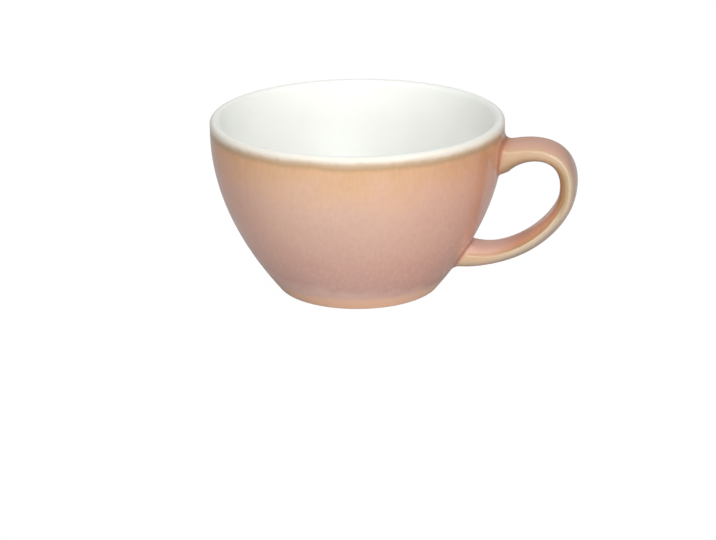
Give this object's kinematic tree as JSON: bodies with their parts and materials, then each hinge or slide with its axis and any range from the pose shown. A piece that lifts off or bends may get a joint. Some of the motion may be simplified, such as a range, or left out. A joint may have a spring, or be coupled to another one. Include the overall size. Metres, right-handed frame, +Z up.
{
  "type": "latte cup",
  "caption": "Rounded stoneware latte cup with a white glazed inside, a pink and peach glazed outside, a low foot ring and an ear-shaped strap handle.",
  "frame": {"origin": "on the standing plane, in the middle of the footprint of bowl and handle; the bowl's own axis is 13.6 mm to the -X side", "axes": "+Z up, +X toward the handle"},
  "size_m": [0.1362, 0.109, 0.0653],
  "materials": {
    "bare_stoneware": "matt, unglazed",
    "handle_stoneware": "matt, under the glaze",
    "joint_slip": "glossy, glazed over",
    "liner_glaze": "glossy white",
    "wall_glaze": "glossy, mottled pink and peach",
    "handle_glaze": "glossy, breaking to cream on the edges"
  },
  "bodies": {
    "root": {"cup_body": "bare_stoneware", "handle": "handle_stoneware", "upper_handle_slip": "joint_slip", "lower_handle_slip": "joint_slip", "liner_glaze": "liner_glaze", "wall_glaze": "wall_glaze", "handle_glaze": "handle_glaze"}
  },
  "joints": []
}
